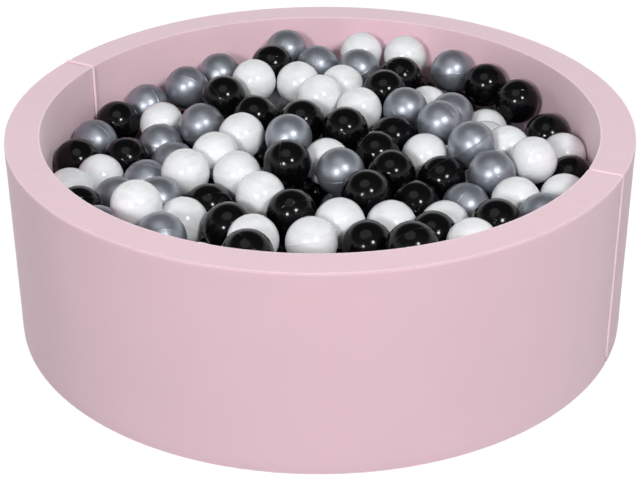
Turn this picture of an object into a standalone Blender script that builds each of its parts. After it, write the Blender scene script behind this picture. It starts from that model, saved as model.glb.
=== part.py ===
"""Round foam ball pit, 900 mm across and 300 mm high, filled with 70 mm play balls.

The wall is two upholstered half rings. They are sewn together at one upright seam, which is
the hinge, and close on each other at the opposite one. A padded round mat is the floor.
The origin is the middle of the pit on the floor, +Z is up and the front of the pit is at -Y.
"""

import math

import bmesh
import bpy
import numpy as np

# Wall, in metres
OUTER_DIAMETER = 0.900
HEIGHT = 0.300
WALL = 0.050
EDGE_ROUND = 0.006
END_ROUND = 0.005
WALL_CROWN = 0.0015
TOP_CROWN = 0.0020
COVER = 0.0016
GAP = 0.0003
SEWN_SEAM = 0.0006
HINGE_SEAM_DEG = 151.7
CLOSURE_SEAM_DEG = -24.6
ARC_STEP_DEG = 7.5
END_ARC_DEGS = (20.0, 42.0, 66.0, 90.0)

# Hook and loop tapes that close the wall
TAPE = 0.0012
TAPE_WIDTH = 0.030
TAPE_END_MARGIN = 0.025

# Zips of the covers
ZIP_TAPE = 0.0006
ZIP_TAPE_WIDTH = 0.020
ZIP_COIL = 0.0014
ZIP_COIL_WIDTH = 0.005
ZIP_RUN_CLEARANCE = 0.0007
ZIP_STEP_DEG = 5.0
ZIP_ABOVE_MAT = 0.015
WALL_ZIP_END_DEG = 14.0
MAT_ZIP_DEGS = (20.0, 160.0)
SLIDER_LENGTH = 0.009
SLIDER_PLATE = 0.0008
SLIDER_SIDE = 0.0014

# Padded mat
MAT_THICKNESS = 0.030
MAT_CLEARANCE = 0.008
MAT_SEGMENTS = 48

# Balls
BALL_DIAMETER = 0.070
BALL_CLEARANCE = 0.0006
SEAT_DEPTH = 0.0050
SEAT_TILTS_DEG = (0.0, 12.0, 24.0, 36.0, 48.0)
SEAT_TURNS = 12
HEAP_BELOW_RIM = 0.043
HEAP_FALL_TO_WALL = 0.020
HEAP_DEEPEST = 0.040
HEAP_HIGHEST = 0.030
BED_BELOW_HEAP = 0.045
BED_WALL_CLEARANCE = 0.0005
BED_ZIP_CLEARANCE = 0.008
BED_RING_SHARES = (0.3, 0.6, 0.8, 1.0)
CROWDING_SHARE = 3.33
LEVEL_ROUNDS = 20
HOLD_ROUNDS = 600
SETTLE_ROUNDS = 2500
PUSH_SHARE = 0.40
HOLD_SHARE = 0.60
BALL_COLOURS = ("silver", "black", "white")

# Where the balls are seen in the 640 x 480 picture, in pixels, those that lie loose on top first,
# and the eye that sees them: its place is in shares of the pit's inner radius, from the middle of
# the balls' level.
PICTURE_MIDDLE_PX = (320.0, 240.0)
LENS_PX = 1553.0
EYE_SHARES = (0.0215, -5.13, 2.435)
EYE_DOWN_DEG = 28.91
EYE_ASIDE_DEG = -0.26
EYE_ROLL_DEG = -0.43
LOOSE_PX = {
    "silver": (
        (474, 148), (440, 127), (290, 138), (162, 237), (287, 52), (342, 173), (406, 112),
        (359, 72),
    ),
    "black": (
        (414, 249), (249, 254), (289, 164), (274, 67), (346, 131), (226, 98), (388, 96),
        (368, 196), (498, 226), (293, 214), (400, 80),
    ),
    "white": (
        (138, 204), (321, 98), (187, 172), (256, 82), (360, 111), (405, 59), (313, 243),
        (362, 55), (533, 164), (341, 224), (262, 196), (243, 136),
    ),
}
JOINED_PX = {
    "silver": (
        (318, 68), (221, 75), (188, 88), (150, 105), (200, 127), (453, 74), (451, 118),
        (164, 146), (175, 165), (97, 141), (147, 182), (118, 199), (160, 200), (492, 177),
        (466, 207), (546, 221), (97, 229),
    ),
    "black": (
        (485, 88), (515, 105), (547, 139), (569, 181), (256, 118), (303, 123), (394, 140),
        (378, 156), (393, 176), (121, 122), (79, 160), (129, 159), (77, 209), (210, 207),
        (417, 206), (443, 182), (440, 238), (369, 247), (229, 227),
    ),
    "white": (
        (300, 84), (346, 88), (419, 107), (162, 124), (217, 155), (238, 175), (103, 176),
        (74, 190), (186, 221), (328, 163), (427, 158), (485, 145), (505, 151), (486, 133),
        (562, 159), (564, 201), (515, 204), (394, 226), (445, 226), (473, 249), (254, 240),
    ),
}

OUTER_RADIUS = OUTER_DIAMETER / 2
INNER_RADIUS = OUTER_RADIUS - WALL
MID_RADIUS = OUTER_RADIUS - WALL / 2
MAT_RADIUS = INNER_RADIUS - MAT_CLEARANCE
BALL_RADIUS = BALL_DIAMETER / 2
BALL_SPACING = BALL_DIAMETER + BALL_CLEARANCE
WALL_FACE = INNER_RADIUS * math.cos(math.radians(ARC_STEP_DEG / 2))
BALL_REACH = WALL_FACE - GAP - BALL_RADIUS
HEAP_LEVEL = HEIGHT - HEAP_BELOW_RIM
ZIP_HEIGHT = MAT_THICKNESS + ZIP_ABOVE_MAT
BED_RADIUS = WALL_FACE - BED_WALL_CLEARANCE
BED_FOOT_RADIUS = INNER_RADIUS - BED_ZIP_CLEARANCE
BED_FOOT_TOP = ZIP_HEIGHT + ZIP_TAPE_WIDTH / 2 + BED_ZIP_CLEARANCE

# Each side of the wall's section: the way that it faces, its crown and its first and last corner
SIDES = {
    "outer": (0.0, WALL_CROWN, ("outer", "base"), ("outer", "top")),
    "top": (90.0, TOP_CROWN, ("outer", "top"), ("inner", "top")),
    "inner": (180.0, WALL_CROWN, ("inner", "top"), ("inner", "base")),
    "base": (270.0, 0.0, ("inner", "base"), ("outer", "base")),
}

MATERIALS = {
    "pink_cover": ("#E3C6CF", 0.55, 0.0),
    "foam": ("#EFE9D8", 0.90, 0.0),
    "non_slip_base": ("#8F8A8C", 0.85, 0.0),
    "hook_tape": ("#C9B3B9", 0.90, 0.0),
    "zip": ("#D8BCC5", 0.50, 0.0),
    "zip_metal": ("#B9BBBE", 0.35, 1.0),
    "silver": ("#8E959C", 0.30, 0.6),
    "black": ("#0E0E10", 0.15, 0.0),
    "white": ("#E9E8E6", 0.20, 0.0),
}


def linear(code):
    """The linear colour of an sRGB hex code, with full alpha."""
    parts = [int(code[k : k + 2], 16) / 255 for k in (1, 3, 5)]
    return [((c + 0.055) / 1.055) ** 2.4 if c > 0.04045 else c / 12.92 for c in parts] + [1.0]


def material(name):
    made = bpy.data.materials.get(name)
    if made is None:
        code, roughness, metallic = MATERIALS[name]
        made = bpy.data.materials.new(name)
        made.use_nodes = True
        made.diffuse_color = linear(code)
        shader = made.node_tree.nodes["Principled BSDF"]
        shader.inputs["Base Color"].default_value = linear(code)
        shader.inputs["Roughness"].default_value = roughness
        shader.inputs["Metallic"].default_value = metallic
    return made


def object_from(name, shape, finish):
    """A smooth-shaded object from a bmesh, which is used up."""
    bmesh.ops.recalc_face_normals(shape, faces=shape.faces)
    mesh = bpy.data.meshes.new(name)
    shape.to_mesh(mesh)
    shape.free()
    mesh.materials.append(material(finish))
    mesh.shade_smooth()
    mesh.set_sharp_from_angle(angle=math.radians(35))
    made = bpy.data.objects.new(name, mesh)
    bpy.context.scene.collection.objects.link(made)
    return made


def helper(name, shape):
    """A cutter or a body to join, which isn't a piece itself."""
    made = object_from(name, shape, "foam")
    made.hide_render = True
    made.display_type = "WIRE"
    return made


def swept(name, angles, sections, finish, whole=False):
    """A solid through (radius, height) sections at angles round the pit's axis."""
    shape = bmesh.new()
    rings = []
    for angle, section in zip(angles, sections):
        turn = (math.cos(angle), math.sin(angle))
        rings.append([shape.verts.new((r * turn[0], r * turn[1], z)) for r, z in section])
    pairs = list(zip(rings, rings[1:]))
    if whole:
        pairs.append((rings[-1], rings[0]))
    else:
        shape.faces.new(rings[0])
        shape.faces.new(rings[-1])
    for ring, following in pairs:
        for k in range(len(ring)):
            shape.faces.new((ring[k - 1], ring[k], following[k], following[k - 1]))
    return object_from(name, shape, finish)


def disc(name, radius, low, high, finish):
    shape = bmesh.new()
    bmesh.ops.create_cone(
        shape, cap_ends=True, segments=MAT_SEGMENTS, radius1=radius, radius2=radius, depth=high - low
    )
    bmesh.ops.translate(shape, verts=shape.verts, vec=(0, 0, (low + high) / 2))
    return object_from(name, shape, finish)


def box_section(inner, outer, low, high):
    return [(outer, low), (outer, high), (inner, high), (inner, low)]


def corner_middle(across, upright, inset):
    """The middle of the rounding of one corner of the wall's section."""
    far = WALL_CROWN + EDGE_ROUND + inset
    r = OUTER_RADIUS - far if across == "outer" else INNER_RADIUS + far
    z = EDGE_ROUND + inset if upright == "base" else HEIGHT - TOP_CROWN - EDGE_ROUND - inset
    return np.array((r, z))


def facing(degrees):
    return np.array((math.cos(math.radians(degrees)), math.sin(math.radians(degrees))))


def flat_run(side, depth, inset):
    """The crowned run of one side between its corners, at a depth under the cover's face."""
    heading, crown, first, last = SIDES[side]
    start, stop = corner_middle(*first, inset), corner_middle(*last, inset)
    out = (EDGE_ROUND - depth) * facing(heading)
    run = [start + out, stop + out]
    if crown:
        run.insert(1, (start + stop) / 2 + out + crown * facing(heading))
    return run


def side_run(side, depth, inset):
    """The run of one side with its half of each corner, up to the sewn edges."""
    heading, _, first, last = SIDES[side]
    turn = 45.0 - math.degrees(GAP / 2 / (EDGE_ROUND - COVER))
    radius = EDGE_ROUND - depth
    before = corner_middle(*first, inset) + radius * facing(heading - turn)
    after = corner_middle(*last, inset) + radius * facing(heading + turn)
    return [before, *flat_run(side, depth, inset), after]


def cover_section(side, inset):
    return side_run(side, 0, inset) + side_run(side, COVER, inset)[::-1]


def foam_section(inset):
    return [point for side in SIDES for point in flat_run(side, COVER + GAP, inset)]


def end_stations():
    """How far each section of a rounded end is from the end, and how far it is drawn in."""
    first = math.cos(math.radians(END_ARC_DEGS[0]))
    arcs = [math.radians(degrees) for degrees in END_ARC_DEGS]
    return [(END_ROUND * (first - math.cos(a)), END_ROUND * (1 - math.sin(a))) for a in arcs]


def stations(start, stop, begin):
    """Angles and insets of the sections of a half ring's piece that begins this far from its ends."""
    along, drawn = zip(*end_stations())
    ends = [begin] + [s for s in along if s > begin]
    insets = [float(np.interp(s, along, drawn)) for s in ends]
    angles = [s / MID_RADIUS for s in ends]
    inner_start, inner_stop = start + angles[-1], stop - angles[-1]
    count = round(math.degrees(inner_stop - inner_start) / ARC_STEP_DEG)
    middle = [inner_start + (inner_stop - inner_start) * k / count for k in range(1, count)]
    before = [start + a for a in angles]
    after = [stop - a for a in reversed(angles)]
    return before + middle + after, insets + [0.0] * len(middle) + insets[::-1]


def zip_chain(name, surface, outward, height, start, stop):
    """A closed zip, tape and coil, that lies on a round surface and stands out from it."""
    tape = surface + outward * GAP
    coil = tape + outward * ZIP_TAPE
    crest = coil + outward * ZIP_COIL
    wide, narrow = ZIP_TAPE_WIDTH / 2, ZIP_COIL_WIDTH / 2
    outline = [
        (tape, height - wide), (coil, height - wide), (coil, height - narrow),
        (crest, height - narrow), (crest, height + narrow), (coil, height + narrow),
        (coil, height + wide), (tape, height + wide),
    ]
    count = round(math.degrees(stop - start) / ZIP_STEP_DEG)
    angles = [start + (stop - start) * k / count for k in range(count + 1)]
    swept(name, angles, [outline] * len(angles), "zip")
    return coil, crest


def zip_slider(name, coil, crest, outward, height, start):
    """The slider, a channel over the coil without a pull tab, at the closed end of its zip."""
    legs = coil + outward * ZIP_RUN_CLEARANCE
    roof = crest + outward * ZIP_RUN_CLEARANCE
    back = roof + outward * SLIDER_PLATE
    inside = ZIP_COIL_WIDTH / 2 + GAP
    outside = inside + SLIDER_SIDE
    outline = [
        (legs, height - outside), (back, height - outside), (back, height + outside),
        (legs, height + outside), (legs, height + inside), (roof, height + inside),
        (roof, height - inside), (legs, height - inside),
    ]
    swept(name, [start, start + SLIDER_LENGTH / coil], [outline] * 2, "zip_metal")


def half_wall(half, start, stop, seams):
    """One upholstered half ring between two angles, with the names of its seams in that order."""
    angles, insets = stations(start, stop, 0)
    for side in SIDES:
        sections = [cover_section(side, inset) for inset in insets]
        swept(f"{half}_{side}_cover", angles, sections, "pink_cover")
    angles, insets = stations(start, stop, COVER + GAP)
    swept(f"{half}_wall_foam", angles, [foam_section(inset) for inset in insets], "foam")
    along, drawn = zip(*end_stations())
    depths = (0, COVER)
    sections = [foam_section(float(np.interp(s, along, drawn))) for s in depths]
    for seam, edge, way in ((seams[0], start, 1), (seams[1], stop, -1)):
        turns = [edge + way * s / MID_RADIUS for s in depths]
        swept(f"{half}_{seam}_end_cover", turns, sections, "pink_cover")
    wall_zip(half, start, stop)


def wall_zip(half, start, stop):
    """The cover's zip, low on the inner side, where the balls hide it."""
    low, middle = flat_run("inner", 0, 0)[-1], flat_run("inner", 0, 0)[1]
    top = ZIP_HEIGHT + ZIP_TAPE_WIDTH / 2
    share = (top - low[1]) / (middle[1] - low[1])
    wall_face = low[0] + (middle[0] - low[0]) * share
    surface = wall_face * math.cos(math.radians(ARC_STEP_DEG / 2))
    first, last = start + math.radians(WALL_ZIP_END_DEG), stop - math.radians(WALL_ZIP_END_DEG)
    coil, crest = zip_chain(f"{half}_zip", surface, -1, ZIP_HEIGHT, first, last)
    zip_slider(f"{half}_zip_slider", coil, crest, -1, ZIP_HEIGHT, first)


def welt(name, seam, half_gap):
    """The piping in a seam: up the outer side, over the top and down the inner side."""
    room = (END_ROUND + half_gap) ** 2 / (4 * END_ROUND)
    route = [point for side in ("outer", "top", "inner") for point in side_run(side, room, 0)]
    route = route[1:-1]
    curve = bpy.data.curves.new(name, "CURVE")
    curve.dimensions = "3D"
    curve.bevel_depth = room - GAP
    curve.bevel_resolution = 1
    curve.use_fill_caps = True
    line = curve.splines.new("POLY")
    line.points.add(len(route) - 1)
    for point, (r, z) in zip(line.points, route):
        point.co = (r * math.cos(seam), r * math.sin(seam), z, 1)
    curve.materials.append(material("pink_cover"))
    made = bpy.data.objects.new(name, curve)
    bpy.context.scene.collection.objects.link(made)


def closure_tapes(seam):
    """Hook tape on the front half's end and loop tape on the back half's, face to face."""
    section = box_section(
        MID_RADIUS - TAPE_WIDTH / 2,
        MID_RADIUS + TAPE_WIDTH / 2,
        TAPE_END_MARGIN,
        HEIGHT - TAPE_END_MARGIN,
    )
    for name, way in (("closure_loop_tape", 1), ("closure_hook_tape", -1)):
        turns = [seam + way * s / MID_RADIUS for s in (GAP / 2, GAP / 2 + TAPE)]
        swept(name, turns, [section] * 2, "hook_tape")


def wall():
    hinge, closure = math.radians(HINGE_SEAM_DEG), math.radians(CLOSURE_SEAM_DEG)
    sewn = SEWN_SEAM / 2
    closed = GAP / 2 + TAPE + GAP
    at_hinge, at_closure = sewn / MID_RADIUS, closed / MID_RADIUS
    half_wall("back", closure + at_closure, hinge - at_hinge, ("closure", "hinge"))
    front_end = closure + 2 * math.pi - at_closure
    half_wall("front", hinge + at_hinge, front_end, ("hinge", "closure"))
    closure_tapes(closure)
    welt("hinge_welt", hinge, sewn)
    welt("closure_welt", closure, closed)


def mat():
    """Foam disc in a cover of three panels, the lowest of them non-slip, with a zip in its side."""
    inside = MAT_RADIUS - COVER - GAP
    disc("mat_base_cover", MAT_RADIUS, 0, COVER, "non_slip_base")
    disc("mat_foam", inside, COVER + GAP, MAT_THICKNESS - COVER - GAP, "foam")
    disc("mat_top_cover", MAT_RADIUS, MAT_THICKNESS - COVER, MAT_THICKNESS, "pink_cover")
    section = box_section(
        MAT_RADIUS - COVER, MAT_RADIUS, COVER + GAP, MAT_THICKNESS - COVER - GAP
    )
    turns = [2 * math.pi * k / MAT_SEGMENTS for k in range(MAT_SEGMENTS)]
    swept("mat_side_cover", turns, [section] * MAT_SEGMENTS, "pink_cover", whole=True)
    start, stop = (math.radians(degrees) for degrees in MAT_ZIP_DEGS)
    height = MAT_THICKNESS / 2
    surface = (MAT_RADIUS + GAP) / math.cos(math.radians(ZIP_STEP_DEG / 2))
    coil, crest = zip_chain("mat_zip", surface, 1, height, start, stop)
    zip_slider("mat_zip_slider", coil, crest, 1, height, start)


def sight():
    """The eye's place, and its forward, right and up directions in the picture."""
    eye = np.array(EYE_SHARES) * INNER_RADIUS
    down, aside, roll = (
        math.radians(degrees) for degrees in (EYE_DOWN_DEG, EYE_ASIDE_DEG, EYE_ROLL_DEG)
    )
    forward = np.array(
        (math.sin(aside) * math.cos(down), math.cos(aside) * math.cos(down), -math.sin(down))
    )
    level_right = np.array((math.cos(aside), -math.sin(aside), 0))
    level_up = np.cross(level_right, forward)
    right = math.cos(roll) * level_right - math.sin(roll) * level_up
    up = math.sin(roll) * level_right + math.cos(roll) * level_up
    return eye, forward, right, up


def heap_level(places):
    """The height of the middles of the balls, which falls from the pit's middle to its wall."""
    reach = np.linalg.norm(places[..., :2], axis=-1)
    return HEAP_LEVEL - HEAP_FALL_TO_WALL * (reach / BALL_REACH) ** 2


def pictured():
    """Colour and pixel place of each loose ball, then of as many others as the pit has room for."""
    loose, joined = (
        [(colour, place) for colour in BALL_COLOURS for place in table[colour]]
        for table in (LOOSE_PX, JOINED_PX)
    )
    room = int(CROWDING_SHARE * (BALL_REACH / BALL_SPACING) ** 2) - len(loose)
    count = max(0, min(room, len(joined)))
    return loose + [joined[k * len(joined) // count] for k in range(count)]


def seen_balls():
    """Colours, places at the heap's level and lines of sight of the balls in the picture."""
    eye, forward, right, up = sight()
    colours, pixels = zip(*pictured())
    across, upward = ((np.array(pixels) - PICTURE_MIDDLE_PX) * (1, -1) / LENS_PX).T
    lines = forward + across[:, None] * right + upward[:, None] * up
    lines /= np.linalg.norm(lines, axis=1)[:, None]
    places = eye + (0, 0, HEAP_LEVEL) - lines * (eye[2] / lines[:, 2:])
    for _ in range(LEVEL_ROUNDS):
        places += lines * ((heap_level(places) - places[:, 2]) / lines[:, 2])[:, None]
    return colours, places, lines


def held_in(places):
    """Places moved back inside the wall and between the heap's lowest and highest levels."""
    reach = np.linalg.norm(places[:, :2], axis=1)
    places[:, :2] *= np.minimum(1, BALL_REACH / reach)[:, None]
    level = heap_level(places)
    places[:, 2] = places[:, 2].clip(level - HEAP_DEEPEST, level + HEAP_HIGHEST)
    return places


def settled(seen, lines):
    """Places where no two balls cross, each as near as it can be to the line on which it's seen."""
    places = held_in(seen.copy())
    apart = np.eye(len(places)) * BALL_SPACING
    for step in range(SETTLE_ROUNDS):
        between = places[None, :, :] - places[:, None, :]
        distance = np.linalg.norm(between, axis=2) + apart
        crowding = (BALL_SPACING - distance).clip(0)
        places += PUSH_SHARE * (between * (crowding / distance)[:, :, None]).sum(axis=0)
        drift = places - seen
        aside = drift - (drift * lines).sum(axis=1)[:, None] * lines
        places -= HOLD_SHARE * max(0, 1 - step / HOLD_ROUNDS) * aside
        places = held_in(places)
    return places


def is_clear(place, others):
    return all(np.linalg.norm(place - other) > BALL_DIAMETER + GAP for other in others)


def heap():
    """(colour, place) of each ball of the upper layer, the seen ones first."""
    colours, places, lines = seen_balls()
    kept = []
    for colour, place in zip(colours, settled(places, lines)):
        if is_clear(place, [other for _, other in kept]):
            kept.append((colour, place))
    for place in gap_places():
        if is_clear(place, [other for _, other in kept]):
            kept.append((BALL_COLOURS[len(kept) % len(BALL_COLOURS)], place))
    return kept


def gap_places():
    """Places on close rings from the wall inwards, where the picture doesn't reach."""
    step = BALL_RADIUS / 4
    rings = int(BALL_REACH / step)
    for ring in range(rings):
        radius = BALL_REACH - ring * step
        count = int(2 * math.pi * radius / step)
        for k in range(count):
            turn = 2 * math.pi * k / count - math.pi / 2
            place = np.array((radius * math.cos(turn), radius * math.sin(turn), 0))
            place[2] = heap_level(place)
            yield place


def bed_body():
    """A disc with a domed top and a narrower foot, for the layers of balls that aren't seen."""
    rims = []
    for share in BED_RING_SHARES:
        radius = share * BED_RADIUS
        rims.append((radius, heap_level(np.array((radius, 0))) - BED_BELOW_HEAP))
    rims.append((BED_RADIUS, BED_FOOT_TOP))
    rims.append((BED_FOOT_RADIUS, BED_FOOT_TOP))
    rims.append((BED_FOOT_RADIUS, MAT_THICKNESS + GAP))
    shape = bmesh.new()
    turns = [2 * math.pi * k / MAT_SEGMENTS for k in range(MAT_SEGMENTS)]
    rings = [
        [shape.verts.new((radius * math.cos(turn), radius * math.sin(turn), z)) for turn in turns]
        for radius, z in rims
    ]
    peak = shape.verts.new((0, 0, HEAP_LEVEL - BED_BELOW_HEAP))
    for k in range(MAT_SEGMENTS):
        shape.faces.new((rings[0][k - 1], rings[0][k], peak))
        for ring, following in zip(rings, rings[1:]):
            shape.faces.new((ring[k - 1], ring[k], following[k], following[k - 1]))
    shape.faces.new(rings[-1])
    return object_from("ball_bed", shape, "silver")


def hangs(place):
    """Whether a ball is too high to be sunk in the bed's top."""
    return place[2] > heap_level(place) - BED_BELOW_HEAP + BALL_RADIUS - SEAT_DEPTH


def seat(place, others):
    """The place of the ball that carries a higher one, under it and as clear as it can be."""
    choices = []
    for tilt in map(math.radians, SEAT_TILTS_DEG):
        for k in range(SEAT_TURNS):
            turn = 2 * math.pi * k / SEAT_TURNS
            across = math.sin(tilt)
            way = np.array((across * math.cos(turn), across * math.sin(turn), -math.cos(tilt)))
            choices.append(place + (BALL_DIAMETER - SEAT_DEPTH) * way)
    inside = [choice for choice in choices if np.linalg.norm(choice[:2]) < BALL_REACH]
    rest = np.array([other for other in others if other is not place])
    return max(inside, key=lambda choice: np.linalg.norm(rest - choice, axis=1).min())


def add_ball(shape, place, radius):
    made = bmesh.ops.create_icosphere(shape, subdivisions=2, radius=radius)
    bmesh.ops.translate(shape, verts=made["verts"], vec=place)


def balls():
    """Loose balls that can be lifted out, and the rest of the heap joined as their bed."""
    whole = heap()
    places = [place for _, place in whole]
    count = sum(len(table) for table in LOOSE_PX.values())
    loose, joined = whole[:count], whole[count:]
    counts = dict.fromkeys(BALL_COLOURS, 0)
    for colour, place in loose:
        counts[colour] += 1
        shape = bmesh.new()
        bmesh.ops.create_icosphere(shape, subdivisions=2, radius=BALL_RADIUS)
        made = object_from(f"{colour}_ball_{counts[colour]:02d}", shape, colour)
        made.location = place
        made.data.shade_smooth()
    bed = bed_body()
    domes, pockets = bmesh.new(), bmesh.new()
    for _, place in joined:
        add_ball(domes, place, BALL_RADIUS)
        if hangs(place):
            add_ball(domes, seat(place, places), BALL_RADIUS)
    for _, place in loose:
        add_ball(domes, seat(place, places), BALL_RADIUS)
        add_ball(pockets, place, BALL_RADIUS + GAP)
    for name, shape, operation in (
        ("bed_domes", domes, "UNION"),
        ("bed_pockets", pockets, "DIFFERENCE"),
    ):
        step = bed.modifiers.new(name, "BOOLEAN")
        step.object = helper(name, shape)
        step.operation = operation
        step.solver = "EXACT"
        step.use_self = True
    print(f"{len(whole)} balls in the upper layer, {len(loose)} of them loose")


def main():
    for old in list(bpy.data.objects):
        bpy.data.objects.remove(old)
    wall()
    mat()
    balls()


main()
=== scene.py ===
"""A round foam ball pit: an upholstered wall in two halves, a padded mat and a heap of play balls.

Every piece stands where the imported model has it. Sizes are in metres and +Z is up.
"""

import math

import bmesh
import bpy
import numpy as np
from mathutils import Matrix, Quaternion, Vector, noise


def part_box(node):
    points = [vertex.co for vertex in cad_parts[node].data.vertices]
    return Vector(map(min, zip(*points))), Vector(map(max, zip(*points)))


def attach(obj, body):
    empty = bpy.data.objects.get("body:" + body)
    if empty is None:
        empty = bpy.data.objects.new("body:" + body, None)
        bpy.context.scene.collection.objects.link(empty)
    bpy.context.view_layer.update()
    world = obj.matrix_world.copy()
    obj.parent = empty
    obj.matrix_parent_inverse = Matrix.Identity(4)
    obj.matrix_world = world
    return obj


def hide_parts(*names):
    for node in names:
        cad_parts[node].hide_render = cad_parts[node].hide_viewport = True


bl_info = {
    "name": "Ball pit",
    "version": (1, 0, 0),
    "blender": (4, 5, 0),
    "location": "3D View > Sidebar > Ball pit",
    "description": "Makes the cushions, tapes, zips and balls of a round ball pit",
    "category": "Object",
}

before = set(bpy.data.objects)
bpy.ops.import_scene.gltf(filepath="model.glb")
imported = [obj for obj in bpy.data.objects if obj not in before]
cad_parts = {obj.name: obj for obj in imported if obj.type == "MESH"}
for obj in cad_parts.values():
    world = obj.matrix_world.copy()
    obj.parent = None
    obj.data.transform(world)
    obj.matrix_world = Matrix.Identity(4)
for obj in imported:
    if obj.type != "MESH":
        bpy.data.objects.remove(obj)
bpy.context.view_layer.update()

BACK_BODY = "back_wall_and_mat"
FRONT_BODY = "front_wall"
HALVES = {"back": BACK_BODY, "front": FRONT_BODY}
BALL_COLOURS = ("silver", "black", "white")
BALL_NODES = sorted(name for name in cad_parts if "_ball_" in name)

# Where the balls are seen in the 640 x 480 picture, in pixels, those that lie loose on top first
LOOSE_PX = {
    "silver": (
        (474, 148), (440, 127), (290, 138), (162, 237), (287, 52), (342, 173), (406, 112),
        (359, 72),
    ),
    "black": (
        (414, 249), (249, 254), (289, 164), (274, 67), (346, 131), (226, 98), (388, 96),
        (368, 196), (498, 226), (293, 214), (400, 80),
    ),
    "white": (
        (138, 204), (321, 98), (187, 172), (256, 82), (360, 111), (405, 59), (313, 243),
        (362, 55), (533, 164), (341, 224), (262, 196), (243, 136),
    ),
}
JOINED_PX = {
    "silver": (
        (318, 68), (221, 75), (188, 88), (150, 105), (200, 127), (453, 74), (451, 118),
        (164, 146), (175, 165), (97, 141), (147, 182), (118, 199), (160, 200), (492, 177),
        (466, 207), (546, 221), (97, 229),
    ),
    "black": (
        (485, 88), (515, 105), (547, 139), (569, 181), (256, 118), (303, 123), (394, 140),
        (378, 156), (393, 176), (121, 122), (79, 160), (129, 159), (77, 209), (210, 207),
        (417, 206), (443, 182), (440, 238), (369, 247), (229, 227),
    ),
    "white": (
        (300, 84), (346, 88), (419, 107), (162, 124), (217, 155), (238, 175), (103, 176),
        (74, 190), (186, 221), (328, 163), (427, 158), (485, 145), (505, 151), (486, 133),
        (562, 159), (564, 201), (515, 204), (394, 226), (445, 226), (473, 249), (254, 240),
    ),
}

# Balls whose parting line is seen: its slope in the picture in degrees, and how far it is tipped
SEEN_PARTING_LINES = {
    (474, 148): (33, 6),
    (492, 177): (118, 52),
    (453, 74): (4, 14),
    (440, 127): (128, 40),
    (342, 173): (8, 30),
    (200, 127): (22, 38),
    (290, 138): (150, 60),
    (97, 141): (140, 45),
}


# Settings


def linear(code):
    """The linear colour of an sRGB hex code, with full alpha."""
    parts = [int(code[k : k + 2], 16) / 255 for k in (1, 3, 5)]
    return (*(((c + 0.055) / 1.055) ** 2.4 if c > 0.04045 else c / 12.92 for c in parts), 1.0)


def length(name, default, description):
    return bpy.props.FloatProperty(
        name=name, default=default, description=description, subtype="DISTANCE", unit="LENGTH", precision=4
    )


def angle(name, degrees, description):
    return bpy.props.FloatProperty(
        name=name, default=math.radians(degrees), description=description, subtype="ANGLE", unit="ROTATION"
    )


def colour(name, code, description):
    return bpy.props.FloatVectorProperty(
        name=name, default=linear(code), description=description, subtype="COLOR", size=4, min=0, max=1
    )


def amount(name, default, description, kind="FACTOR"):
    return bpy.props.FloatProperty(name=name, default=default, description=description, subtype=kind, min=0)


class PitWallSettings(bpy.types.PropertyGroup):
    """Sizes and colours of the upholstered wall."""

    outer_diameter: length("Outer diameter", 0.900, "Across the wall's outer faces")
    height: length("Height", 0.300, "From the floor to the top of the wall")
    thickness: length("Thickness", 0.050, "Through the padded wall")
    edge_round: length("Edge rounding", 0.0028, "Radius of the sewn top and bottom edges")
    edge_bead: length("Edge bead", 0.0009, "How far the turned-in seam stands out along an edge")
    lip: length("Lip", 0.0010, "How far the inner top edge leans over the balls")
    hinge_round: length("Hinge rounding", 0.0042, "Radius of the cushions' edges at the hinge seam")
    closing_round: length("Closing rounding", 0.0022, "Radius of the cushions' edges at the closing seam")
    hollow: length("Hollow", 0.0010, "How far the faces lie behind the sewn edges")
    crown: length("Crown", 0.0012, "How far the foam can puff the faces out")
    hinge_seam: angle("Hinge seam", 151.7, "Where the sewn seam is round the pit")
    closing_seam: angle("Closing seam", -24.6, "Where the seam that opens is round the pit")
    sewn_gap: length("Sewn gap", 0.0006, "Between the halves at the hinge seam")
    closed_gap: length("Closed gap", 0.0033, "Between the halves where their tapes meet")
    piping_radius: length("Piping radius", 0.0023, "Radius of the cord in the upright seams")
    closing_depth: length("Closing depth", 0.0011, "From a face to the middle of the closing seam's piping")
    hinge_depth: length("Hinge depth", -0.0002, "From a face to the middle of the hinge seam's piping")
    tape_width: length("Tape width", 0.030, "Width of the hook and loop tapes")
    tape_margin: length("Tape margin", 0.025, "From the tapes' ends to the top and the floor")
    zip_height: length("Zip height", 0.045, "From the floor to the middle of the covers' zips")
    zip_radius: length("Zip radius", 0.3998, "From the pit's middle to the back of the zips' tapes")
    zip_margin: angle("Zip margin", 14.0, "From an upright seam to the zip's end")
    fabric: colour("Fabric", "#EBC5D1", "Colour of the jersey cover")
    # A paler jersey for the beads of the top edges and for the piping: a painted highlight where they face
    # the lamps
    painted_highlight_fabric: colour("Tight fabric", "#F4D6E0", "Colour of the jersey drawn tight over a seam or a cord")
    trim: colour("Trim", "#D6B5BF", "Colour of the tapes and zips")


class PitMatSettings(bpy.types.PropertyGroup):
    """Sizes and colours of the padded mat."""

    diameter: length("Diameter", 0.784, "Across the mat")
    thickness: length("Thickness", 0.030, "Through the mat")
    edge_round: length("Edge rounding", 0.004, "Radius of the mat's sewn edges")
    base_cloth: length("Base cloth", 0.0016, "Thickness of the cloth under the mat")
    zip_start: angle("Zip start", 20.0, "Where the mat's zip begins")
    zip_stop: angle("Zip stop", 160.0, "Where the mat's zip ends")
    zip_radius: length("Zip radius", 0.39297, "From the pit's middle to the back of the zip's tapes")
    base: colour("Base", "#8F8A8C", "Colour of the non-slip cloth under the mat")


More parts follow.
